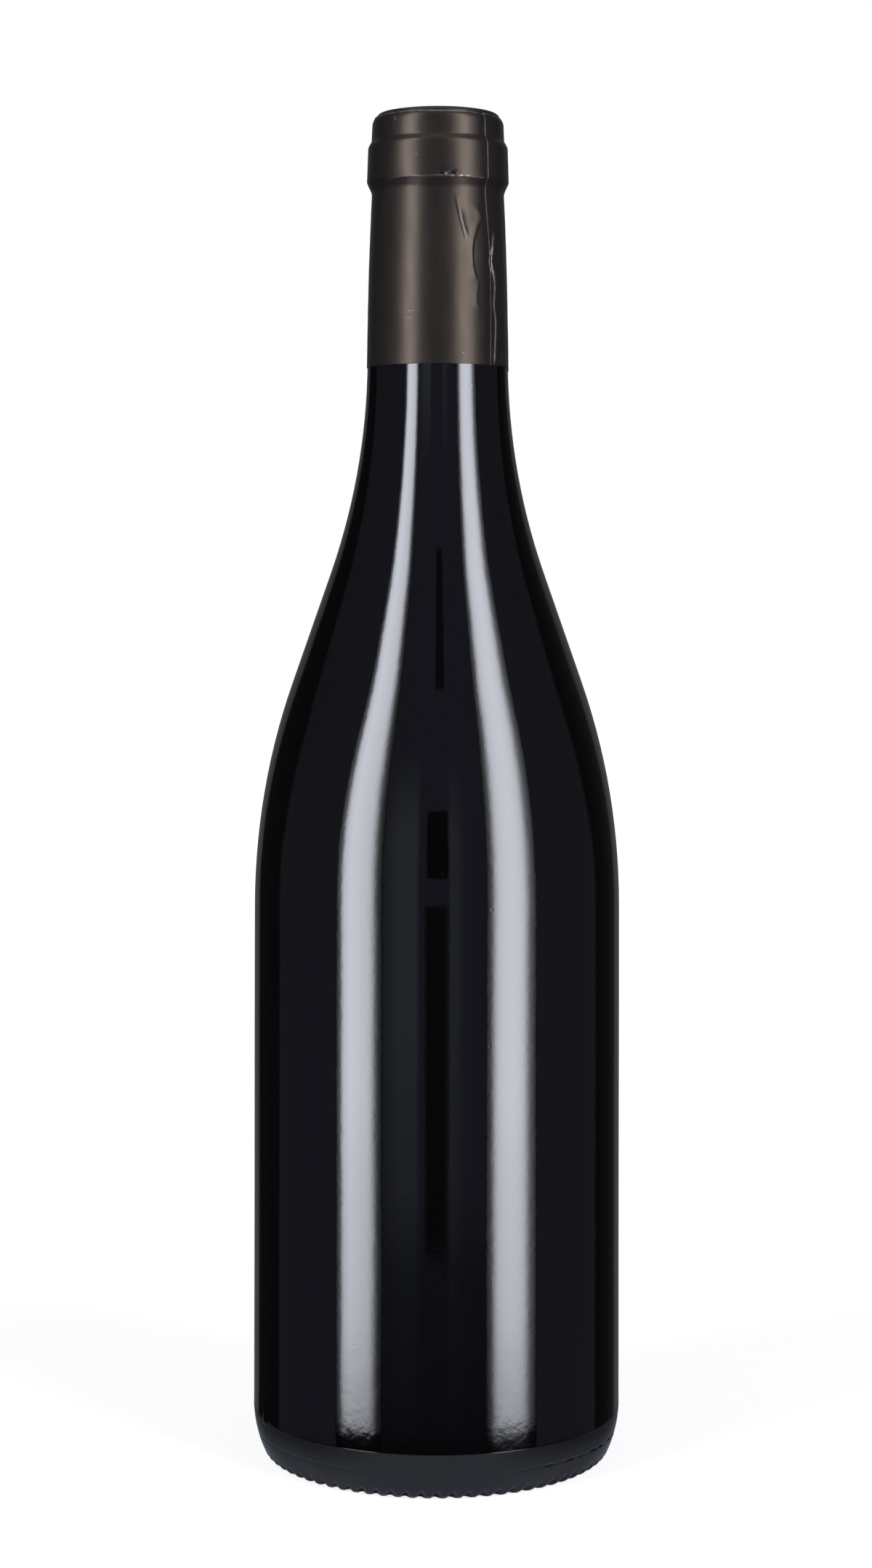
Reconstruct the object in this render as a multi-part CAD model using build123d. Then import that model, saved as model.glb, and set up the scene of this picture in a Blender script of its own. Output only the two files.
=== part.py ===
from build123d import *

import os
from math import asin, atan2, cos, degrees, radians, sin, tan

# A 75 cl wine bottle with long sloping shoulders, full and closed: dark moulded
# glass under a foil capsule. Millimetres, +Z up along the bottle's axis, z = 0 on
# the surface that it stands on. -Y is the front.

# Glass body. The contents are hidden, so glass and contents are one solid.
BODY_DIAMETER = 81.0
SIDE_HEIGHT = 121.0  # from the standing surface to the start of the shoulder
SHOULDER_SLOPE = 19.2  # degrees from the axis
SHOULDER_RADIUS = 150.0  # rounded, from the side into the slope
NECK_BLEND_RADIUS = 145.0  # hollow, from the slope into the neck
NECK_ROOT_DIAMETER = 32.6  # where the lines of the slope and the neck cross
NECK_LENGTH = 63.8  # from that crossing to the foot of the ring
NECK_TAPER = 1.5  # degrees from the axis, closing upwards

# Glass ring and lip, which show through the foil as its outline.
RING_STAND_OUT = 1.0  # of the ring from the neck
RING_FLANK_HEIGHT = 2.2
RING_HEIGHT = 7.8  # between the ring's two corners
RING_DRAFT = 0.25  # the ring is this much narrower at its upper corner
LIP_STEP_HEIGHT = 2.0
LIP_STEP_IN = 0.85
LIP_HEIGHT = 4.9
RING_FOOT_FILLET = 0.9
RING_LOWER_FILLET = 1.3
RING_UPPER_FILLET = 1.5
LIP_FOOT_FILLET = 0.8
LIP_TOP_FILLET = 2.6

# Base: heel, bearing ring and punt (the hollow under the bottle).
HEEL_RADIUS = 24.0
HEEL_INSET = 4.0  # from the side to the outer edge of the bearing ring
BEARING_CORNER = 1.75
BEARING_WIDTH = 2.5
PUNT_DEPTH = 21.0
PUNT_LIP_RADIUS = 3.0

# Grip marks: short grooves round the corner of the bearing ring, all leaning one way.
GROOVE_COUNT = 72
GROOVE_RADIUS = 1.15
GROOVE_DEPTH = 0.8
GROOVE_TILT = 55.0  # degrees below the horizontal that a groove faces
GROOVE_SLANT = 15.0  # degrees from straight up the heel, to the right seen from outside
GROOVE_CUT_LENGTH = 8.0

# Foil capsule: a rolled skirt with a lap seam, over a stamped top disc.
FOIL = 0.2
SKIRT_DROP = 39.6  # the skirt's lower edge, below the foot of the ring
HEM_INSET = 0.5  # the skirt's upper hem, in from the side of the lip
DISC_TURN_DOWN = 2.2  # the disc's rim, below the top of the bottle
LAP_START = 46.0  # degrees to the right of the front
LAP_WIDTH = 3.0  # round the neck, at its root

# Worked out from the sizes above.
BODY_RADIUS = BODY_DIAMETER / 2
NECK_ROOT_RADIUS = NECK_ROOT_DIAMETER / 2
SHOULDER_CORNER_Z = SIDE_HEIGHT + SHOULDER_RADIUS * tan(radians(SHOULDER_SLOPE / 2))
NECK_ROOT_Z = SHOULDER_CORNER_Z + (BODY_RADIUS - NECK_ROOT_RADIUS) / tan(radians(SHOULDER_SLOPE))
RING_FOOT_Z = NECK_ROOT_Z + NECK_LENGTH
RING_FOOT_RADIUS = NECK_ROOT_RADIUS - NECK_LENGTH * tan(radians(NECK_TAPER))
RING_LOWER_Z = RING_FOOT_Z + RING_FLANK_HEIGHT
RING_LOWER_RADIUS = RING_FOOT_RADIUS + RING_STAND_OUT
RING_UPPER_Z = RING_LOWER_Z + RING_HEIGHT
RING_UPPER_RADIUS = RING_LOWER_RADIUS - RING_DRAFT
LIP_FOOT_Z = RING_UPPER_Z + LIP_STEP_HEIGHT
LIP_RADIUS = RING_UPPER_RADIUS - LIP_STEP_IN
TOP_Z = LIP_FOOT_Z + LIP_HEIGHT
SKIRT_Z = RING_FOOT_Z - SKIRT_DROP
BEARING_RADIUS = BODY_RADIUS - HEEL_INSET
PUNT_MOUTH_RADIUS = BEARING_RADIUS - BEARING_WIDTH
HEEL_TURN = 90 - degrees(asin((HEEL_RADIUS - HEEL_INSET) / (HEEL_RADIUS - BEARING_CORNER)))


def bottle_section():
    """Half section of the bottle's outside, with the radius along X and the height along Y."""
    punt_radius = (PUNT_MOUTH_RADIUS**2 + PUNT_DEPTH**2) / (2 * PUNT_DEPTH) - PUNT_LIP_RADIUS
    punt_turn = degrees(atan2(PUNT_MOUTH_RADIUS, punt_radius + PUNT_LIP_RADIUS - PUNT_DEPTH))
    punt = JernArc((0, PUNT_DEPTH), (1, 0), punt_radius, -punt_turn)
    punt_lip = JernArc(punt @ 1, punt % 1, PUNT_LIP_RADIUS, punt_turn)
    bearing = Line(punt_lip @ 1, (BEARING_RADIUS, 0))
    corner = JernArc(bearing @ 1, (1, 0), BEARING_CORNER, 90 - HEEL_TURN)
    heel = JernArc(corner @ 1, corner % 1, HEEL_RADIUS, HEEL_TURN)
    upper = FilletPolyline(
        heel @ 1,
        (BODY_RADIUS, SHOULDER_CORNER_Z),
        (NECK_ROOT_RADIUS, NECK_ROOT_Z),
        (RING_FOOT_RADIUS, RING_FOOT_Z),
        (RING_LOWER_RADIUS, RING_LOWER_Z),
        (RING_UPPER_RADIUS, RING_UPPER_Z),
        (LIP_RADIUS, LIP_FOOT_Z),
        (LIP_RADIUS, TOP_Z),
        (0, TOP_Z),
        radius=(
            SHOULDER_RADIUS,
            NECK_BLEND_RADIUS,
            RING_FOOT_FILLET,
            RING_LOWER_FILLET,
            RING_UPPER_FILLET,
            LIP_FOOT_FILLET,
            LIP_TOP_FILLET,
        ),
    )
    axis = Line((0, TOP_Z), (0, PUNT_DEPTH))
    return make_face([punt, punt_lip, bearing, corner, heel, *upper.edges(), axis])


def band(inner, outer, low, high):
    """A rectangle in the section's plane, between two radii and two heights."""
    return Pos((inner + outer) / 2, (low + high) / 2) * Rectangle(outer - inner, high - low)


def turned(section, turn=360.0, start=0.0):
    """The solid that a section makes when it turns about the bottle's axis, from start degrees."""
    return Rot(0, 0, start) * revolve(Plane.XZ * section, Axis.Z, turn)


def foil_sections():
    """Sections of the disc, of the skirt round it and the glass, and of the skirt's second layer."""
    outside = bottle_section()
    reach = BODY_DIAMETER
    neck = outside & band(0, reach, NECK_ROOT_Z, TOP_Z)
    neck = neck + mirror(neck, Plane.YZ)
    disc = (neck - offset(neck, -FOIL)) & band(0, reach, TOP_Z - DISC_TURN_DOWN, TOP_Z)
    covered = band(LIP_RADIUS - HEM_INSET, reach, SKIRT_Z, TOP_Z + reach)
    skirt = (offset(neck, FOIL) - neck) & covered
    lap = (offset(neck, 2 * FOIL) - offset(neck, FOIL)) & covered
    return disc, skirt, lap


def grip_grooves():
    """Round cutters, one for each grip mark, that run out of the glass at both ends."""
    tilt = radians(GROOVE_TILT)
    facing = Vector(cos(tilt), 0, -sin(tilt))
    corner_centre = Vector(BEARING_RADIUS, 0, BEARING_CORNER)
    middle = corner_centre + facing * (BEARING_CORNER - GROOVE_DEPTH + GROOVE_RADIUS)
    place = Plane(origin=middle, x_dir=(sin(tilt), 0, cos(tilt)), z_dir=facing)
    cutter = place * Rot(0, 0, -GROOVE_SLANT) * Rot(0, 90, 0) * Cylinder(GROOVE_RADIUS, GROOVE_CUT_LENGTH)
    return [Rot(0, 0, turn * 360 / GROOVE_COUNT) * cutter for turn in range(GROOVE_COUNT)]


def bottle(disc):
    """Glass and contents, hollow under the base, with the grip marks cut and room for the disc."""
    return turned(bottle_section() - disc) - grip_grooves()


def capsule_skirt(skirt, lap):
    """The rolled foil skirt, doubled where its two edges lap."""
    front = -90.0
    lap_turn = degrees(LAP_WIDTH / NECK_ROOT_RADIUS)
    return turned(skirt) + turned(lap, lap_turn, front + LAP_START)


os.makedirs("parts", exist_ok=True)
disc_section, skirt_section, lap_section = foil_sections()
nodes = {
    "bottle": bottle(disc_section),
    "capsule_skirt": capsule_skirt(skirt_section, lap_section),
    "capsule_disc": turned(disc_section),
}
for name, solid in nodes.items():
    export_step(solid, f"parts/{name}.step")
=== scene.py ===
from math import asin, atan2, cos, degrees, exp, hypot, log1p, pi, radians, sin, tan

import bmesh
import bpy
from mathutils import Matrix, Vector, noise


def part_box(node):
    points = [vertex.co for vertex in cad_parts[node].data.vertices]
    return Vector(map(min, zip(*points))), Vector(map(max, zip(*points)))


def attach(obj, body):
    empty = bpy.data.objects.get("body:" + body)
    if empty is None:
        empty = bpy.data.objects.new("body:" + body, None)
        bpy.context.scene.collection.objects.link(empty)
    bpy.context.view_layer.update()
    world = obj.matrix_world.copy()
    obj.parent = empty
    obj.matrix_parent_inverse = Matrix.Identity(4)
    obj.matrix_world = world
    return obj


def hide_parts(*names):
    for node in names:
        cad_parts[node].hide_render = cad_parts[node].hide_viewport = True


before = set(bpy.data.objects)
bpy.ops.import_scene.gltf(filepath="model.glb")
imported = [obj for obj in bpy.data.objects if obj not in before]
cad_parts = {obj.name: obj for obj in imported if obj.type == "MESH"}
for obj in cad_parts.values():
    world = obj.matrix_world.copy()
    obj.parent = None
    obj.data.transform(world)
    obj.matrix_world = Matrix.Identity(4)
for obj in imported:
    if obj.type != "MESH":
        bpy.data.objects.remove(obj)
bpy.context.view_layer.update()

# ----------------------------------------------------------------------------
# The bottle. Dark glass blown in a two-part mould on a base plate, full of wine and corked, so that it
# reads as near-black and glossy. Its wall is a little wavy, its base is pushed up into a punt, and the
# corner of its bearing ring carries short leaning grip marks.
# ----------------------------------------------------------------------------
bottle_low, bottle_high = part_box("bottle")
skirt_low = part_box("capsule_skirt")[0]
body_radius = (bottle_high.x - bottle_low.x) / 2
side_height = 0.121
shoulder_turn = radians(19.2)
shoulder_radius = 0.150
neck_blend_radius = 0.145
neck_root_radius = 0.0163
neck_taper = radians(1.5)
heel_radius = 0.024
heel_inset = 0.004
bearing_corner = 0.00175
bearing_width = 0.0025
punt_depth = 0.021
punt_lip_radius = 0.003
heel_line_turn = radians(6)
heel_line_radius = 0.003
under_foil = 0.00035
ring_step = 0.0008
base_seam_height = 0.0056
base_seam_depth = 0.00007
base_seam_width = 0.00022
glass_blobs = (
    # degrees round from the front, height, size
    (-72, 0.0118, 0.0007),
    (-67, 0.0102, 0.0009),
    (-63, 0.0086, 0.0006),
    (14, 0.0062, 0.0006),
)
glass_blob_sink = 0.0001
neck_flat = 0.0005
neck_flat_side = -40
neck_flat_width = 18
neck_flat_start = 0.135
neck_flat_full = 0.175
wall_wave = 0.00003
wave_start = 0.004
wave_fade = 0.008
grip_marks = 72
grip_depth = 0.0008
grip_tilt = radians(55)
grip_slant = radians(15)
grip_softness = 0.00012
up = Vector((0, 0, 1))
origin = Vector((0, 0, 0))


def straight(bm, point, heading, length, steps=1):
    """Draws a straight stretch of a turned piece's outline from a vertex, and gives its last vertex."""
    step = Vector((cos(heading), 0, sin(heading))) * (length / steps)
    drawn = bmesh.ops.spin(bm, geom=[point], cent=point.co, axis=(0, -1, 0), dvec=step, angle=0, steps=steps)
    return [part for part in drawn["geom_last"] if isinstance(part, bmesh.types.BMVert)][0]


def arc(bm, point, heading, radius, turn, steps):
    """Draws an arc that leaves a vertex along heading and turns left, or right if turn is negative."""
    side = 1 if turn > 0 else -1
    centre = point.co + Vector((-sin(heading), 0, cos(heading))) * (radius * side)
    drawn = bmesh.ops.spin(bm, geom=[point], cent=centre, axis=(0, -1, 0), angle=turn, steps=steps)
    return [part for part in drawn["geom_last"] if isinstance(part, bmesh.types.BMVert)][0]


def turn_round(bm, steps, doublings):
    """Turns an outline through a small sector, and doubles the sector until it goes all the way round."""
    sector = 2 * pi / 2**doublings
    outline = bm.verts[:] + bm.edges[:]
    bmesh.ops.spin(bm, geom=outline, cent=origin, axis=up, angle=sector, steps=steps)
    for doubling in range(doublings):
        copied = bmesh.ops.duplicate(bm, geom=bm.verts[:] + bm.edges[:] + bm.faces[:])
        verts = [part for part in copied["geom"] if isinstance(part, bmesh.types.BMVert)]
        bmesh.ops.rotate(bm, verts=verts, cent=origin, matrix=Matrix.Rotation(sector * 2**doubling, 3, "Z"))
    bmesh.ops.remove_doubles(bm, verts=bm.verts, dist=1e-6)


def smooth_step(value, low, high):
    """0 below low, 1 above high, and a smooth rise between them."""
    share = min(1, max(0, (value - low) / (high - low)))
    return share * share * (3 - 2 * share)


def finish_piece(bm, name, material, node, sharp=radians(40)):
    """Makes a finished mesh an object, and ties it to the frame."""
    for face in bm.faces:
        face.smooth = True
    mesh = bpy.data.meshes.new(name)
    bm.to_mesh(mesh)
    bm.free()
    mesh.set_sharp_from_angle(angle=sharp)
    mesh.materials.append(material)
    piece = bpy.data.objects.new(name, mesh)
    bpy.context.scene.collection.objects.link(piece)
    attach(piece, "root")
    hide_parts(node)
    return piece


def new_material(name):
    """A node material: itself, its nodes, the function that links two sockets, and its shader."""
    material = bpy.data.materials.new(name)
    material.use_nodes = True
    nodes = material.node_tree.nodes
    return material, nodes, material.node_tree.links.new, nodes["Principled BSDF"]


def stretched_noise(nodes, link, coordinates, scale, stretch=(1, 1, 1), detail=2.0):
    """A noise on Object coordinates, with its pattern squeezed by stretch."""
    mapping = nodes.new("ShaderNodeMapping")
    mapping.inputs["Scale"].default_value = stretch
    link(coordinates, mapping.inputs["Vector"])
    texture = nodes.new("ShaderNodeTexNoise")
    texture.inputs["Scale"].default_value = scale
    texture.inputs["Detail"].default_value = detail
    link(mapping.outputs["Vector"], texture.inputs["Vector"])
    return texture.outputs["Fac"]


def remap(nodes, link, value, from_low, from_high, to_low=0.0, to_high=1.0):
    """A value carried from one range to another, and held inside it."""
    node = nodes.new("ShaderNodeMapRange")
    node.inputs["From Min"].default_value = from_low
    node.inputs["From Max"].default_value = from_high
    node.inputs["To Min"].default_value = to_low
    node.inputs["To Max"].default_value = to_high
    link(value, node.inputs["Value"])
    return node.outputs["Result"]


def calculate(nodes, link, operation, first, second=0.0):
    """One sum on two values, each a socket or a number."""
    node = nodes.new("ShaderNodeMath")
    node.operation = operation
    for socket, value in zip(node.inputs, (first, second)):
        if isinstance(value, (int, float)):
            socket.default_value = value
        else:
            link(value, socket)
    return node.outputs["Value"]


def mixed_colour(nodes, link, value, low, high):
    """A colour between two, each a colour or a socket, by a value from 0 to 1."""
    node = nodes.new("ShaderNodeMix")
    node.data_type = "RGBA"
    for name, colour in (("A", low), ("B", high)):
        if isinstance(colour, tuple):
            node.inputs[name].default_value = (*colour, 1)
        else:
            link(colour, node.inputs[name])
    link(value, node.inputs["Factor"])
    return node.outputs["Result"]


def bump(nodes, link, height, distance, under=None):
    """A bump of a real depth in metres, on top of another one if it is given."""
    node = nodes.new("ShaderNodeBump")
    node.inputs["Distance"].default_value = distance
    link(height, node.inputs["Height"])
    if under is not None:
        link(under, node.inputs["Normal"])
    return node.outputs["Normal"]


def dark_glass():
    """Near-black wine-filled glass: glossy, with a faint ripple, a few pits, and a thin film of handling."""
    material, nodes, link, shader = new_material("dark_glass")
    place = nodes.new("ShaderNodeTexCoord").outputs["Object"]
    depth = stretched_noise(nodes, link, place, 22)
    tone = mixed_colour(nodes, link, depth, (0.0007, 0.0008, 0.0007), (0.0013, 0.0012, 0.0014))
    link(tone, shader.inputs["Base Color"])
    film = stretched_noise(nodes, link, place, 70, (1, 1, 0.4), 5)
    link(remap(nodes, link, film, 0.35, 0.75, 0.02, 0.05), shader.inputs["Roughness"])
    shader.inputs["IOR"].default_value = 1.52
    ripple = stretched_noise(nodes, link, place, 260, (1, 1, 0.8), 3)
    dimples = stretched_noise(nodes, link, place, 650, (1, 1, 0.8), 2)
    pits = nodes.new("ShaderNodeTexVoronoi")
    pits.inputs["Scale"].default_value = 170
    link(place, pits.inputs["Vector"])
    pit_floor = remap(nodes, link, pits.outputs["Distance"], 0.0, 0.07)
    rippled = bump(nodes, link, dimples, 0.0000055, bump(nodes, link, ripple, 0.000008))
    link(bump(nodes, link, pit_floor, 0.000007, rippled), shader.inputs["Normal"])
    return material


bm = bmesh.new()
punt_mouth = body_radius - heel_inset - bearing_width
punt_radius = (punt_mouth**2 + punt_depth**2) / (2 * punt_depth) - punt_lip_radius
punt_turn = atan2(punt_mouth, punt_radius + punt_lip_radius - punt_depth)
heel_turn = pi / 2 - asin((heel_radius - heel_inset) / (heel_radius - bearing_corner))
corner_turn = pi / 2 - heel_turn
shoulder_corner_z = side_height + shoulder_radius * tan(shoulder_turn / 2)
neck_root_z = shoulder_corner_z + (body_radius - neck_root_radius) / tan(shoulder_turn)
neck_turn = shoulder_turn - neck_taper
slope_length = hypot(body_radius - neck_root_radius, neck_root_z - shoulder_corner_z)
slope_length -= shoulder_radius * tan(shoulder_turn / 2) + neck_blend_radius * tan(neck_turn / 2)
point = bm.verts.new((0, 0, punt_depth))
point = arc(bm, point, 0, punt_radius, -punt_turn, 12)
point = arc(bm, point, -punt_turn, punt_lip_radius, punt_turn, 6)
point = straight(bm, point, 0, bearing_width, 3)
point = arc(bm, point, 0, bearing_corner, corner_turn, 14)
point = arc(bm, point, corner_turn, heel_radius, heel_turn - heel_line_turn, 46)
short_of_side = body_radius - point.co.x - heel_line_radius * (1 - cos(heel_line_turn))
point = straight(bm, point, pi / 2 - heel_line_turn, short_of_side / sin(heel_line_turn), 2)
point = arc(bm, point, pi / 2 - heel_line_turn, heel_line_radius, heel_line_turn, 4)
point = straight(bm, point, pi / 2, side_height - point.co.z, 20)
point = arc(bm, point, pi / 2, shoulder_radius, shoulder_turn, 14)
slope = pi / 2 + shoulder_turn
point = straight(bm, point, slope, slope_length, 6)
point = arc(bm, point, slope, neck_blend_radius, -neck_turn, 14)
slope = pi / 2 + neck_taper
point = straight(bm, point, slope, skirt_low.z + 0.001 - point.co.z, 4)
point = straight(bm, point, pi, under_foil)
point = straight(bm, point, slope, bottle_high.z - 0.016 - point.co.z, 1)
point = straight(bm, point, radians(30), ring_step * 1.2)
point = straight(bm, point, slope, 0.008)
point = straight(bm, point, radians(140), ring_step * 1.3)
point = straight(bm, point, slope, bottle_high.z - 0.002 - point.co.z)
point = arc(bm, point, slope, 0.0016, radians(70), 5)
point = straight(bm, point, pi, point.co.x)
turn_round(bm, 9, 6)

facing = Vector((cos(grip_tilt), -sin(grip_tilt)))
along = Vector((sin(grip_tilt), cos(grip_tilt)))
corner_centre = Vector((body_radius - heel_inset, bearing_corner))
groove_floor = bearing_corner - grip_depth
for vert in bm.verts:
    radius = hypot(vert.co.x, vert.co.y)
    if radius < 1e-6:
        continue
    angle = atan2(vert.co.y, vert.co.x)
    offset = Vector((radius, vert.co.z)) - corner_centre
    out = offset.dot(facing)
    if radius > punt_mouth and vert.co.z < 2.5 * bearing_corner and out > groove_floor - 0.0002:
        lean = offset.dot(along) * tan(grip_slant) / corner_centre.x
        phase = (angle - lean) * grip_marks
        limit = groove_floor + grip_depth * 1.12 * (0.5 - 0.5 * cos(phase)) ** 0.85
        gap = max(-20, min(20, (out - limit) / grip_softness))
        cut = facing * (-grip_softness * log1p(exp(gap)))
        radius += cut.x
        vert.co.z += cut.y
    if wave_start < vert.co.z < skirt_low.z and radius > punt_mouth * 0.3:
        fade = min(1, (vert.co.z - wave_start) / wave_fade)
        wave = noise.noise(Vector((vert.co.x * 45, vert.co.y * 45, vert.co.z * 26)))
        radius += wall_wave * fade * (wave - 0.9)
    right = (degrees(angle) + 270) % 360 - 180
    if vert.co.z < 2 * base_seam_height and radius > punt_mouth:
        broken = smooth_step(noise.noise(Vector((right * 0.23, 7, 0))), -0.1, 0.25)
        open_seam = smooth_step(right, 15, 50) * broken
        seam = exp(-(((vert.co.z - base_seam_height) / base_seam_width) ** 2))
        radius -= base_seam_depth * seam * (1 + 2 * open_seam)
    for side, height, size in glass_blobs:
        away = hypot(radians(right - side) * body_radius, vert.co.z - height) / size
        if away < 3 and radius > punt_mouth:
            radius += 0.3 * size * exp(-(away**2)) - glass_blob_sink * exp(-(away**2) / 3)
    flat = exp(-(((right - neck_flat_side) / neck_flat_width) ** 2))
    radius -= neck_flat * flat * smooth_step(vert.co.z, neck_flat_start, neck_flat_full)
    vert.co.x, vert.co.y = radius * cos(angle), radius * sin(angle)
bmesh.ops.recalc_face_normals(bm, faces=bm.faces)
finish_piece(bm, "dark_glass_bottle", dark_glass(), "bottle")

# ----------------------------------------------------------------------------
# The capsule's top disc. Stamped from lacquered tin foil, with a shallow dish in its face and its rim
# turned down over the lip, where the skirt's hem holds it.
# ----------------------------------------------------------------------------
disc_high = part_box("capsule_disc")[1]
foil = 0.00015
dish_radius = 0.0085
dish_bend = 0.0008
dish_turn = radians(20)
rim_bend = 0.0013
rim_turn = radians(80)
rim_drop = 0.0009
disc_radius = 0.0125


def foil_line(nodes, link, place, start, end, width, strength):
    """A fine straight line on the front of the foil, between two points given as across and height."""
    run = Vector((end[0] - start[0], end[1] - start[1]))
    middle = Vector((start[0] + end[0], start[1] + end[1])) / 2
    on_foil = nodes.new("ShaderNodeMapping")
    on_foil.vector_type = "TEXTURE"
    on_foil.inputs["Location"].default_value = (middle.x, 0, middle.y)
    on_foil.inputs["Rotation"].default_value = (0, -atan2(run.y, run.x), 0)
    link(place, on_foil.inputs["Vector"])
    parts = nodes.new("ShaderNodeSeparateXYZ")
    link(on_foil.outputs["Vector"], parts.inputs["Vector"])
    along = calculate(nodes, link, "ABSOLUTE", parts.outputs["X"], 0)
    off_line = calculate(nodes, link, "ABSOLUTE", parts.outputs["Z"], 0)
    on_line = remap(nodes, link, off_line, 0, width, strength, 0)
    ends = remap(nodes, link, along, run.length * 0.4, run.length * 0.5, 1, 0)
    front = remap(nodes, link, parts.outputs["Y"], -0.002, 0, 1, 0)
    return calculate(nodes, link, "MULTIPLY", calculate(nodes, link, "MULTIPLY", on_line, ends), front)


pale_scratches = (
    ((-0.0066, 0.25150), (-0.0050, 0.25165), 0.00009, 0.16),
    ((-0.0073, 0.25010), (-0.0054, 0.25015), 0.00008, 0.14),
    ((-0.0095, 0.29440), (-0.0094, 0.29360), 0.00016, 0.50),
    ((-0.0050, 0.28580), (-0.0043, 0.28530), 0.00022, 0.12),
)
# Near-black lines leading into the nick; the last two paint the shade in the nick's dent.
dark_lines_and_nick_shade = (
    ((-0.0040, 0.28530), (-0.0012, 0.28370), 0.00007, 0.35),
    ((-0.0012, 0.28370), (0.0030, 0.28215), 0.00007, 0.45),
    ((0.0029, 0.28225), (0.0036, 0.28180), 0.00007, 0.8),
    ((0.0003, 0.28160), (0.0013, 0.28130), 0.00034, 0.9),
    ((0.0023, 0.28130), (0.0039, 0.28170), 0.00034, 0.9),
)


def capsule_foil(name, wear_and_painted_light):
    """Satin dark lacquer on tin foil: fine grain, small dents and specks, and, when asked, the skirt's
    vertex marks: metal showing where rubbed, painted highlights in the same metal colour, and painted shade
    in near-black.
    """
    material, nodes, link, shader = new_material(name)
    place = nodes.new("ShaderNodeTexCoord").outputs["Object"]
    cloud = stretched_noise(nodes, link, place, 160, (1, 1, 0.5), 4)
    lacquer = mixed_colour(nodes, link, cloud, (0.0242, 0.0173, 0.0121), (0.0292, 0.0210, 0.0147))
    specks = nodes.new("ShaderNodeTexVoronoi")
    specks.inputs["Scale"].default_value = 330
    link(place, specks.inputs["Vector"])
    speck_size = stretched_noise(nodes, link, place, 150, (1, 1, 1), 0)
    speck = remap(nodes, link, specks.outputs["Distance"], 0.0, 0.05, 1, 0)
    speck = calculate(nodes, link, "MULTIPLY", speck, remap(nodes, link, speck_size, 0.62, 0.68))
    bare_and_highlight = speck
    if wear_and_painted_light:
        # The skirt's vertex marks: rubbed lacquer and painted highlights above zero, painted shade below
        # zero.
        wear_and_light_attribute = nodes.new("ShaderNodeAttribute")
        wear_and_light_attribute.attribute_name = "wear_and_light_marks"
        patchy = remap(nodes, link, stretched_noise(nodes, link, place, 1100, (1, 1, 1), 2), 0.25, 0.60)
        rub_and_highlight_patches = calculate(nodes, link, "MULTIPLY", wear_and_light_attribute.outputs["Fac"], patchy)
        bare_and_highlight = calculate(nodes, link, "MAXIMUM", speck, rub_and_highlight_patches)
        for start, end, width, strength in pale_scratches:
            line = foil_line(nodes, link, place, start, end, width, strength)
            bare_and_highlight = calculate(nodes, link, "MAXIMUM", bare_and_highlight, line)
        # Painted shade: near-black in the nick's dent and along a few dark lines.
        nick_shade_and_dark_lines = calculate(nodes, link, "MULTIPLY", wear_and_light_attribute.outputs["Fac"], -1)
        for start, end, width, strength in dark_lines_and_nick_shade:
            line = foil_line(nodes, link, place, start, end, width, strength)
            nick_shade_and_dark_lines = calculate(nodes, link, "MAXIMUM", nick_shade_and_dark_lines, line)
        nick_shade_and_dark_lines = remap(nodes, link, nick_shade_and_dark_lines, 0, 0.6)
        lacquer = mixed_colour(nodes, link, nick_shade_and_dark_lines, lacquer, (0.001, 0.001, 0.001))
    # Metal colour: specks and pale scratches are real; the skirt's marks add painted highlights in it.
    link(mixed_colour(nodes, link, bare_and_highlight, lacquer, (0.30, 0.29, 0.28)), shader.inputs["Base Color"])
    shader.inputs["Metallic"].default_value = 0.75
    shader.inputs["Specular IOR Level"].default_value = 0.3
    shader.inputs["Sheen Weight"].default_value = 0.008
    shader.inputs["Sheen Roughness"].default_value = 1.0
    shader.inputs["Sheen Tint"].default_value = (0.25, 0.6, 1.0, 1)
    rubbed = stretched_noise(nodes, link, place, 420, (1, 1, 0.3), 4)
    link(remap(nodes, link, rubbed, 0.3, 0.7, 0.31, 0.37), shader.inputs["Roughness"])
    grain = stretched_noise(nodes, link, place, 3400, (1, 1, 1), 2)
    dimple = stretched_noise(nodes, link, place, 600, (1, 1, 0.6), 2)
    grained = bump(nodes, link, grain, 0.0000075)
    link(bump(nodes, link, dimple, 0.000008, grained), shader.inputs["Normal"])
    return material


bm = bmesh.new()
dish_rise = 2 * dish_bend * (1 - cos(dish_turn))
point = bm.verts.new((0, 0, disc_high.z - 0.00005 - dish_rise))
point = straight(bm, point, 0, dish_radius, 4)
point = arc(bm, point, 0, dish_bend, dish_turn, 5)
point = arc(bm, point, dish_turn, dish_bend, -dish_turn, 5)
point = straight(bm, point, 0, disc_radius - point.co.x, 3)
point = arc(bm, point, 0, rim_bend, -rim_turn, 14)
point = straight(bm, point, -rim_turn, rim_drop, 3)
point = straight(bm, point, -rim_turn - pi / 2, foil)
point = straight(bm, point, pi - rim_turn, rim_drop, 3)
point = arc(bm, point, pi - rim_turn, rim_bend - foil, rim_turn, 6)
point = straight(bm, point, pi, point.co.x, 4)
turn_round(bm, 6, 5)
for vert in bm.verts:
    vert.co.z += 0.00004 * (noise.noise(vert.co * 160) - 1)
bmesh.ops.recalc_face_normals(bm, faces=bm.faces)
finish_piece(bm, "capsule_top_disc", capsule_foil("disc_foil", False), "capsule_disc")

# ----------------------------------------------------------------------------
# The capsule's skirt. One sheet of lacquered tin foil rolled into a cone, glued where its free edge laps
# over the start of the sheet, and spun down tight over the glass ring and lip. It is creased near the
# lap, nicked at the ring's lower edge, and its lower edge droops a little on one side.
# ----------------------------------------------------------------------------
skirt_foot_radius = 0.01579
skirt_foot_heading = radians(91.1)
lap = 11.0

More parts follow.
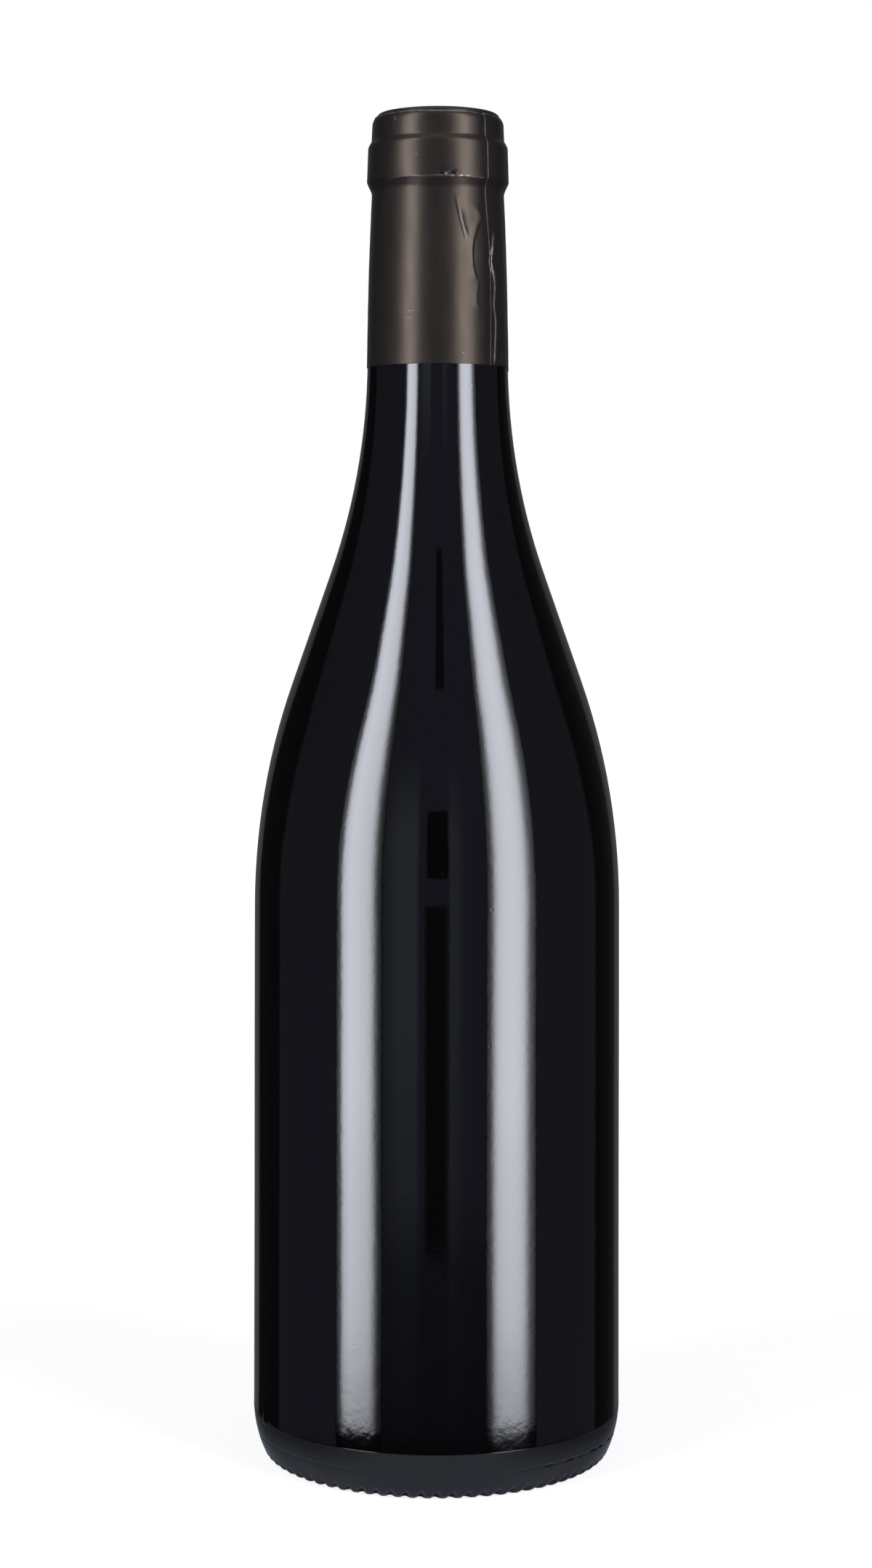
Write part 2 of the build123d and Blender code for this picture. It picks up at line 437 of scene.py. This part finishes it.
bm = bmesh.new()
skirt_stretches = (
    (0.01345, 0, 36),
    (0.02386, 1.56, 62),
    (0.00070, 0, 3),
    (0.00143, -27.28, 7),
    (0.00168, 0, 14),
    (0.00046, 26.49, 6),
    (0.00709, 0, 26),
    (0.00090, 28.0, 7),
    (0.00085, 0, 5),
    (0.00045, -27.3, 5),
    (0.00326, 0, 10),
    (0.00173, 34.1, 12),
)
turns = (
    (0.2, 10),
    (0.44, 50),
    (6.0, 41),
    (2.0, 21),
    (0.45, 104),
    (0.2, 10),
    (2.55, 4),
)
seam_route = (
    (0.2400, 46.7),
    (0.2517, 47.9),
    (0.2589, 47.9),
    (0.2643, 47.7),
    (0.2717, 45.7),
    (0.2786, 44.1),
    (0.2842, 43.8),
    (0.2918, 44.1),
    (0.2956, 44.6),
)
long_crease = (
    (0.2400, 51.6),
    (0.2406, 51.8),
    (0.2495, 54.1),
    (0.2532, 52.3),
    (0.2575, 53.8),
    (0.2598, 52.4),
    (0.2626, 48.9),
    (0.2660, 51.5),
    (0.2691, 53.6),
)
lower_scallop = ((0.2521, 37.2), (0.2529, 34.3), (0.2549, 33.5), (0.2583, 35.4))
upper_scallop = (
    (0.2586, 33.6),
    (0.2606, 30.6),
    (0.2639, 29.2),
    (0.2666, 30.2),
    (0.2698, 34.3),
    (0.2722, 38.7),
    (0.2744, 35.1),
)
creases = (
    # route, height, how far its left side reaches, how far its right side reaches, rubbing and painted
    # highlight on its ridge
    (long_crease, 0.00017, 0.00030, 0.00045, 0.45),
    (((0.2592, 53.6), (0.2608, 51.2), (0.2626, 49.2), (0.2660, 51.9)), 0.00016, 0.00050, 0.00040, 0.12),
    (lower_scallop, 0.00007, 0.0010, 0.00028, 0.05),
    (upper_scallop, 0.00013, 0.0013, 0.00028, 0.10),
    (((0.2671, 24.1), (0.2727, 18.5), (0.2764, 15.8)), 0.00007, 0.00030, 0.0010, 0.12),
    (((0.2685, 27.2), (0.2706, 24.3), (0.2739, 21.5)), -0.00010, 0.00030, 0.00030, 0.0),
    (((0.2404, 59.1), (0.2426, 65.6)), 0.00010, 0.00030, 0.00030, 0.3),
)
ring_edge_height = 0.2810
ring_edge_sharpness = 0.00013
ring_edge_ridge = 0.00008
nick_angle = 7.0
nick_width = 7.0
nick_height = 0.28165
nick_tall = 0.00045
nick_depth = 0.00016
lap_rise = 0.00007
lap_groove = 0.00006
crease_rub_and_highlight_width = 0.00018
foil_wave = 0.00002
foot_droop = 0.0008
foot_droop_reach = 0.006
hem_tilt = 0.00012


def route_angle(route, height):
    """Degrees at a height on a route, on a smooth curve through its points."""
    if height <= route[0][0]:
        return route[0][1]
    if height >= route[-1][0]:
        return route[-1][1]
    at = max(index for index in range(len(route) - 1) if route[index][0] <= height)
    before, low, high, after = (route[min(max(at + step, 0), len(route) - 1)] for step in (-1, 0, 1, 2))
    span = high[0] - low[0]
    share = (height - low[0]) / span
    low_slope = (high[1] - before[1]) / max(high[0] - before[0], 1e-6) * span
    high_slope = (after[1] - low[1]) / max(after[0] - low[0], 1e-6) * span
    bend = share * share * (3 - 2 * share)
    sway = share * (1 - share) * ((1 - share) * low_slope - share * high_slope)
    return low[1] + (high[1] - low[1]) * bend + sway


rows = [(skirt_foot_radius, skirt_low.z, skirt_foot_heading)]
for length, turn, steps in skirt_stretches:
    for step in range(steps):
        radius, height, heading = rows[-1]
        half_turn = radians(turn) / steps / 2
        heading += half_turn
        radius += cos(heading) * length / steps
        height += sin(heading) * length / steps
        rows.append((radius, height, heading + half_turn))
columns = [0.0]
for step, count in turns:
    for index in range(count):
        columns.append(columns[-1] + step)

bmesh.ops.create_grid(bm, x_segments=len(columns) - 1, y_segments=len(rows) - 1, size=0.5)
# Marks per vertex for the foil's colour: rubbed lacquer, and painted highlights along the seam, creases,
# ring edge and hem; below zero they are painted shade in the nick.
wear_and_light_marks = bm.verts.layers.float.new("wear_and_light_marks")
top_row = len(rows) - 1
for vert in bm.verts:
    column = round((vert.co.x + 0.5) * (len(columns) - 1))
    row = round((vert.co.y + 0.5) * top_row)
    radius, height, heading = rows[row]
    rolled = columns[column]
    right = route_angle(seam_route, height) + rolled
    seen = (right + 180) % 360 - 180
    out = lap_rise * (1 - smooth_step(rolled, lap, lap + 5)) - lap_groove * exp(-((rolled / 0.55) ** 2))
    out -= (foil - lap_rise + 0.00001) * smooth_step(rolled, 353, 360)
    # Painted highlight: a thin line in metal colour along the lap seam.
    wear_and_painted_light = 0.12 * exp(-((rolled / 0.3) ** 2))
    if rolled < 358 + lap:
        for route, ridge, left_reach, right_reach, rub_and_highlight in creases:
            if abs(seen - route[0][1]) > 40:
                continue
            ends = smooth_step(height, route[0][0] - 0.0006, route[0][0] + 0.0012)
            ends *= 1 - smooth_step(height, route[-1][0] - 0.0014, route[-1][0] + 0.0008)
            across = radians(seen - route_angle(route, height)) * radius
            reach = left_reach if across < 0 else right_reach
            out += ends * ridge * exp(-((across / reach) ** 2))
            # Crease ridges in metal colour: partly rubbed lacquer, partly painted highlight.
            wear_and_painted_light = max(wear_and_painted_light, rub_and_highlight * ends * exp(-((across / crease_rub_and_highlight_width) ** 2)))
    sag = 0.00022 * noise.noise(Vector((seen * 0.06, 9.0, 0)))
    sag += 0.00005 * noise.noise(Vector((seen * 0.5, 2.0, 0)))
    edge_height = ring_edge_height - 0.0003 * (seen / 45) ** 2 + sag
    on_edge = exp(-(((height - edge_height) / ring_edge_sharpness) ** 2))
    if abs(seen) < 50:
        raised = ring_edge_ridge * exp(-(((height - edge_height) / 0.00030) ** 2))
        out += raised * (1 - smooth_step(abs(seen), 40, 50))
        # Painted highlight: a bright line in metal colour along the ring's lower edge, brighter right of the
        # front and in patches.
        patch = noise.noise(Vector((seen * 0.30, 4.0, 0)))
        painted_edge_highlight = 0.25 + 0.75 * smooth_step(seen, -12, 12) * smooth_step(patch, -0.3, 0.3)
        wear_and_painted_light = max(wear_and_painted_light, painted_edge_highlight * on_edge * (1 - smooth_step(abs(seen + 3), 38, 48)))
    across_nick = (seen - nick_angle) / nick_width
    up_nick = (height - nick_height) / nick_tall
    if abs(across_nick) < 1.6:
        ragged = 1 + 0.5 * noise.noise(Vector((seen * 0.45, height * 4000, 1)))
        nick = exp(-((across_nick / ragged) ** 4) - (up_nick / ragged) ** 2)
        gap = 1 - 0.8 * exp(-((across_nick * 2.6) ** 2))
        out -= nick_depth * nick * gap
        # Painted shade: the nick's dent is darkened to near-black, through a value below zero.
        wear_and_painted_light -= 1.2 * nick * gap * (1 - on_edge)
        # Painted glint: a bright spot in metal colour on the ring edge beside the nick.
        painted_glint = exp(-(((seen - 6.4) / 0.9) ** 2) - ((height - 0.28135) / 0.00025) ** 2)
        wear_and_painted_light = max(wear_and_painted_light, 1.2 * painted_glint)
    flat = exp(-(((seen - neck_flat_side) / neck_flat_width) ** 2))
    out -= 0.4 * neck_flat * flat * (1 - smooth_step(height, 0.279, 0.284))
    hem = smooth_step(row, top_row - 3, top_row - 1)
    # Painted highlight in metal colour along the hem.
    wear_and_painted_light = max(wear_and_painted_light, hem * (0.35 + 0.5 * noise.noise(Vector((seen * 0.12, 1.0, 5)))))
    round_about = Vector((cos(radians(right)) * 2.4, sin(radians(right)) * 2.4, height * 300))
    out += foil_wave * noise.noise(round_about)
    droop = smooth_step(seen, 68, 92) * (1 - smooth_step(seen, 120, 175))
    droop *= 1 - smooth_step(height, skirt_low.z, skirt_low.z + foot_droop_reach)
    tilt = smooth_step(height, 0.2935, 0.2954) * hem_tilt * sin(radians(right))
    radius += out * sin(heading)
    height -= out * cos(heading) + foot_droop * droop + tilt
    turned = radians(right - 90)
    vert.co = Vector((radius * cos(turned), radius * sin(turned), height))
    vert[wear_and_light_marks] = wear_and_painted_light
bm.normal_update()
first = bm.faces[:][0]
if first.normal.dot(Vector((first.calc_center_median().x, first.calc_center_median().y, 0))) < 0:
    bmesh.ops.reverse_faces(bm, faces=bm.faces)
skirt_material = capsule_foil("skirt_foil", True)
skirt = finish_piece(bm, "capsule_skirt_foil", skirt_material, "capsule_skirt")
wall = skirt.modifiers.new("foil_thickness", "SOLIDIFY")
wall.thickness = foil
wall.offset = -1
rounding = skirt.modifiers.new("cut_edges", "BEVEL")
rounding.width = 0.00004
rounding.segments = 2
rounding.limit_method = "ANGLE"
rounding.angle_limit = radians(60)

# ----------------------------------------------------------------------------
# The floor. A pale sheet that reads as plain white, with the bottle's soft shadow on it. Glass and foil
# see it only close to the bottle's foot, as a sheet with a dark room beyond it.
# ----------------------------------------------------------------------------
floor_size = 6
floor_near = 0.059
floor_far = 0.064
shadow_near = 0.15
shadow_far = 0.45


def stage_piece(bm, name, material):
    """Makes a mesh a part of the stage, which isn't part of the bottle."""
    mesh = bpy.data.meshes.new(name)
    bm.to_mesh(mesh)
    bm.free()
    mesh.materials.append(material)
    piece = bpy.data.objects.new(name, mesh)
    bpy.context.scene.collection.objects.link(piece)
    return piece


def new_stage_material(name):
    """A material with no Principled shader: itself, its nodes, its link function, and its output."""
    material, nodes, link, shader = new_material(name)
    nodes.remove(shader)
    return material, nodes, link, nodes["Material Output"].inputs["Surface"]


def glow(nodes, link, colour, strength):
    """An emission, with its colour and strength each a value or a socket."""
    node = nodes.new("ShaderNodeEmission")
    for name, value in (("Color", colour), ("Strength", strength)):
        if isinstance(value, tuple):
            node.inputs[name].default_value = (*value, 1)
        elif isinstance(value, (int, float)):
            node.inputs[name].default_value = value
        else:
            link(value, node.inputs[name])
    return node.outputs["Emission"]


def mixed_shader(nodes, link, value, low, high):
    """One shader where a value is 0, and another where it is 1."""
    node = nodes.new("ShaderNodeMixShader")
    link(value, node.inputs["Fac"])
    link(low, node.inputs[1])
    link(high, node.inputs[2])
    return node.outputs["Shader"]


def pale_floor():
    """White to the camera with the bottle's shadow on it, and a dim patch round the foot to the glass."""
    material, nodes, link, surface = new_stage_material("pale_floor")
    rays = nodes.new("ShaderNodeLightPath").outputs
    place = nodes.new("ShaderNodeTexCoord").outputs["Object"]
    distance = nodes.new("ShaderNodeVectorMath")
    distance.operation = "LENGTH"
    link(place, distance.inputs[0])
    beyond = remap(nodes, link, distance.outputs["Value"], floor_near, floor_far)
    paper = nodes.new("ShaderNodeBsdfDiffuse")
    paper.inputs["Color"].default_value = (0.25, 0.25, 0.25, 1)
    seen = nodes.new("ShaderNodeAddShader")
    link(paper.outputs["BSDF"], seen.inputs[0])
    fade = remap(nodes, link, distance.outputs["Value"], shadow_near, shadow_far, 0.80, 1.0)
    link(glow(nodes, link, (1, 1, 1), fade), seen.inputs[1])
    sides = nodes.new("ShaderNodeSeparateXYZ")
    link(place, sides.inputs["Vector"])
    aside = calculate(nodes, link, "ABSOLUTE", sides.outputs["X"])
    dimmed = remap(nodes, link, aside, 0.022, 0.052, 1.0, 0.25)
    close = nodes.new("ShaderNodeBsdfDiffuse")
    link(mixed_colour(nodes, link, dimmed, (0, 0, 0), (0.45, 0.47, 0.53)), close.inputs["Color"])
    through = nodes.new("ShaderNodeBsdfTransparent").outputs["BSDF"]
    mirrored = mixed_shader(nodes, link, beyond, close.outputs["BSDF"], through)
    lit = mixed_shader(nodes, link, rays["Is Camera Ray"], paper.outputs["BSDF"], seen.outputs["Shader"])
    link(mixed_shader(nodes, link, rays["Is Glossy Ray"], lit, mirrored), surface)
    return material


bm = bmesh.new()
bmesh.ops.create_circle(bm, cap_ends=True, segments=64, radius=floor_size)
stage_piece(bm, "floor", pale_floor())

# ----------------------------------------------------------------------------
# Two tall soft boxes, one on each side of the camera. Each is a curved sheet of white cloth with soft
# edges, dimmer towards its foot.
# ----------------------------------------------------------------------------
box_distance = 1.6
box_foot = -2.2
box_top = 2.0
box_light = 14.2
box_colour = (0.88, 0.915, 1.0)
box_gap = ((-2.2, 0.45), (-0.64, 0.45), (-0.61, 0.0), (-0.446, 0.0))


def brightness(nodes, link, value, stops, low, high):
    """A smooth brightness curve of a value between low and high, through stops of value and level."""
    ramp = nodes.new("ShaderNodeValToRGB")
    ramp.color_ramp.interpolation = "LINEAR"
    points = ramp.color_ramp.elements
    while len(points) < len(stops):
        points.new(1.0)
    for point, (at, level) in zip(points, stops):
        point.position = (at - low) / (high - low)
        point.color = (level, level, level, 1)
    link(remap(nodes, link, value, low, high), ramp.inputs["Fac"])
    return ramp.outputs["Color"]


def azimuth_of(nodes, link):
    """Degrees round the bottle's axis from the front, positive to the right, and the height."""
    place = nodes.new("ShaderNodeSeparateXYZ")
    link(nodes.new("ShaderNodeTexCoord").outputs["Object"], place.inputs["Vector"])
    ahead = calculate(nodes, link, "MULTIPLY", place.outputs["Y"], -1.0)
    turned = calculate(nodes, link, "ARCTAN2", place.outputs["X"], ahead)
    return calculate(nodes, link, "MULTIPLY", turned, 180 / pi), place.outputs["Z"]


def soft_box(name, across, upwards):
    """A soft box, from its brightness by azimuth, given as degrees and level, and by height."""
    material, nodes, link, surface = new_stage_material(name)
    azimuth, height = azimuth_of(nodes, link)
    wide = brightness(nodes, link, azimuth, across, across[0][0], across[-1][0])
    tall = brightness(nodes, link, height, upwards, box_foot, box_top)
    level = calculate(nodes, link, "MULTIPLY", wide, tall)
    link(glow(nodes, link, box_colour, calculate(nodes, link, "MULTIPLY", level, box_light)), surface)
    bm = bmesh.new()
    start, end = radians(across[0][0]), radians(across[-1][0])
    foot = bm.verts.new((box_distance * sin(start), -box_distance * cos(start), box_foot))
    head = bm.verts.new((foot.co.x, foot.co.y, box_top))
    edge = bm.edges.new((foot, head))
    bmesh.ops.spin(bm, geom=[foot, head, edge], cent=origin, axis=up, angle=end - start, steps=12)
    piece = stage_piece(bm, name, material)
    piece.visible_camera = False
    piece.visible_shadow = False


soft_box(
    "left_soft_box",
    ((-64.5, 0.0), (-61.3, 0.15), (-59.7, 0.62), (-58.2, 0.85), (-54.6, 1.0), (-50, 0.96),
     (-43.6, 0.86), (-41.8, 0.78), (-40.3, 0.61), (-38.9, 0.38), (-37.5, 0.16), (-36.1, 0.06), (-33, 0.0)),
    (*box_gap, (-0.4389, 0.05), (-0.4352, 0.22), (-0.4327, 0.40), (-0.42, 0.50), (-0.41, 0.56),
     (-0.38, 0.69), (-0.35, 0.80), (-0.24, 0.92), (-0.19, 1.0), (2.0, 1.0)),
)
soft_box(
    "right_soft_box",
    ((30, 0.0), (33.4, 0.12), (34.8, 0.35), (36.2, 0.61), (37.6, 0.79), (39, 0.89), (42, 0.97), (46.7, 1.0),
     (50.5, 0.96), (53.4, 0.86), (54.9, 0.74), (56.4, 0.54), (57.9, 0.31), (59.5, 0.155), (64, 0.0)),
    (*box_gap, (-0.4389, 0.075), (-0.4352, 0.30), (-0.4327, 0.50), (-0.42, 0.56), (-0.41, 0.60),
     (-0.38, 0.71), (-0.35, 0.82), (-0.24, 0.92), (-0.19, 1.0), (2.0, 1.0)),
)

# ----------------------------------------------------------------------------
# The drapes. A round wall of dim cloth that the glass reflects: bluish at the front and sides, black
# further back, with a narrow gap straight behind the bottle where the white backdrop shows through.
# ----------------------------------------------------------------------------
drape_distance = 2.2
drape_foot = -2.5
drape_top = 3.5
drape_gap = radians(8)
drape_light = 0.38


def coloured_ramp(nodes, link, value, stops, low, high):
    """A colour by a value between low and high, through stops of value and colour."""
    ramp = nodes.new("ShaderNodeValToRGB")
    points = ramp.color_ramp.elements
    while len(points) < len(stops):
        points.new(1.0)
    for point, (at, colour) in zip(points, stops):
        point.position = (at - low) / (high - low)
        point.color = (*colour, 1)
    link(remap(nodes, link, value, low, high), ramp.inputs["Fac"])
    return ramp.outputs["Color"]


def drape_cloth():
    """Dim cloth, lighter in two panels beside the camera, dark behind it and towards the floor."""
    material, nodes, link, surface = new_stage_material("drape_cloth")
    azimuth, height = azimuth_of(nodes, link)
    grey, black = (0.30, 0.30, 0.32), (0.03, 0.03, 0.03)
    leaning = calculate(nodes, link, "MULTIPLY", azimuth, remap(nodes, link, height, 0.1, 0.75, 1.0, 1.055))
    stops = (
        (-200, grey),
        (-149.5, grey),
        (-148, black),
        (-116.5, black),
        (-114, (0.20, 0.21, 0.28)),
        (-80, (0.30, 0.29, 0.46)),
        (-66, (0.35, 0.35, 0.50)),
        (0, (0.36, 0.36, 0.57)),
        (66, (0.35, 0.35, 0.52)),
        (90, (0.28, 0.26, 0.40)),
        (115, (0.23, 0.21, 0.27)),
        (118.5, black),
        (134, (0.05, 0.05, 0.05)),
        (148, (0.09, 0.09, 0.09)),
        (149.5, grey),
        (200, grey),
    )
    cloth = coloured_ramp(nodes, link, leaning, stops, -200, 200)
    panels = (
        ((-36, 0.0), (-24, 0.9), (-15, 1.0), (-12.5, 0.8), (-10.5, 0.0), (7, 0.0), (8.5, 0.7), (13, 0.5),
         (17, 0.1), (24, 0.0)),
        ((-0.65, 0.0), (-0.55, 0.3), (-0.40, 0.45), (-0.2, 1.0), (0.5, 1.0), (1.1, 0.0)),
    )
    column = (
        ((-8.5, 0.0), (-6.0, 1.0), (4.5, 1.0), (8.0, 0.0)),
        ((-0.46, 0.0), (-0.43, 1.0), (-0.01, 1.0), (0.02, 0.0)),
    )
    rod = (
        ((-2.5, 0.0), (-1.2, 1.0), (5.2, 1.0), (6.5, 0.0)),
        ((1.70, 0.0), (1.72, 1.0), (3.5, 1.0)),
    )
    foot = (
        ((-60, 0.0), (-30, 1.0), (30, 1.0), (60, 0.0)),
        ((-0.95, 0.0), (-0.88, 1.0), (-0.66, 1.0), (-0.57, 0.7), (-0.46, 0.5), (-0.38, 0.0)),
    )
    shades = (
        (panels, (0.92, 1.05, 1.25)),
        (column, (0.04, 0.04, 0.04)),
        (rod, (0.05, 0.05, 0.05)),
        (foot, (0.03, 0.03, 0.03)),
    )
    for (across, upwards), colour in shades:
        wide = brightness(nodes, link, azimuth, across, across[0][0], across[-1][0])
        tall = brightness(nodes, link, height, upwards, upwards[0][0], upwards[-1][0])
        cloth = mixed_colour(nodes, link, calculate(nodes, link, "MULTIPLY", wide, tall), cloth, colour)
    upright = ((drape_foot, 1.0), (-0.95, 1.0), (-0.88, 0.15), (-0.72, 0.15), (-0.62, 1.0), (drape_top, 1.0))
    lit = brightness(nodes, link, height, upright, drape_foot, drape_top)
    link(glow(nodes, link, cloth, calculate(nodes, link, "MULTIPLY", lit, drape_light)), surface)
    return material


bm = bmesh.new()
foot = bm.verts.new((drape_distance * sin(drape_gap), drape_distance * cos(drape_gap), drape_foot))
head = bm.verts.new((foot.co.x, foot.co.y, drape_top))
edge = bm.edges.new((foot, head))
bmesh.ops.spin(bm, geom=[foot, head, edge], cent=origin, axis=-up, angle=2 * (pi - drape_gap), steps=72)
drapes = stage_piece(bm, "drapes", drape_cloth())
drapes.visible_camera = False
drapes.visible_diffuse = False
drapes.visible_shadow = False
drapes.data.materials[0].cycles.emission_sampling = "NONE"

# ----------------------------------------------------------------------------
# The maker's own camera. A black box in front of the bottle, which the glass shoulder mirrors
# as a short dark bar.
# ----------------------------------------------------------------------------
body_width = 0.145
body_deep = 0.03
body_tall = 0.144
body_place = Vector((0.003, -0.675, 0.2215))

material, nodes, link, surface = new_stage_material("camera_black")
shell = nodes.new("ShaderNodeBsdfDiffuse")
shell_place = nodes.new("ShaderNodeTexCoord").outputs["Object"]
worn_black = stretched_noise(nodes, link, shell_place, 40, (1, 1, 1), 2)
black_shades = mixed_colour(nodes, link, worn_black, (0.006, 0.006, 0.006), (0.012, 0.012, 0.012))
link(black_shades, shell.inputs["Color"])
link(shell.outputs["BSDF"], surface)

bm = bmesh.new()
bmesh.ops.create_cube(bm, size=1)
bmesh.ops.scale(bm, vec=(body_width, body_deep, body_tall), verts=bm.verts)
bmesh.ops.translate(bm, vec=body_place, verts=bm.verts)
camera_body = stage_piece(bm, "camera_body", material)
camera_body.visible_camera = False
camera_body.visible_shadow = False

# ----------------------------------------------------------------------------
# The backdrop and the camera. The backdrop is plain white to the camera, glass and foil, and lights
# the rest only dimly.
# ----------------------------------------------------------------------------
world = bpy.data.worlds.new("white_backdrop")
world.use_nodes = True
nodes = world.node_tree.nodes
link = world.node_tree.links.new
rays = nodes.new("ShaderNodeLightPath").outputs
shown = calculate(nodes, link, "MAXIMUM", rays["Is Camera Ray"], rays["Is Glossy Ray"])
shown = calculate(nodes, link, "MAXIMUM", shown, rays["Is Transmission Ray"])
nodes["Background"].inputs["Color"].default_value = (1, 1, 1, 1)
link(remap(nodes, link, shown, 0, 1, 0.3, 1.0), nodes["Background"].inputs["Strength"])
bpy.context.scene.world = world

camera_data = bpy.data.cameras.new("camera")
camera_data.lens = 67.85
camera_data.sensor_width = 36
camera_data.shift_y = -0.1293
camera_data.shift_x = -0.00089
camera = bpy.data.objects.new("camera", camera_data)
camera.location = (0, -0.6575, 0.1927)
camera.rotation_euler = (pi / 2, radians(-0.074), 0)
bpy.context.scene.collection.objects.link(camera)
bpy.context.scene.camera = camera
bpy.context.scene.view_settings.view_transform = "Standard"
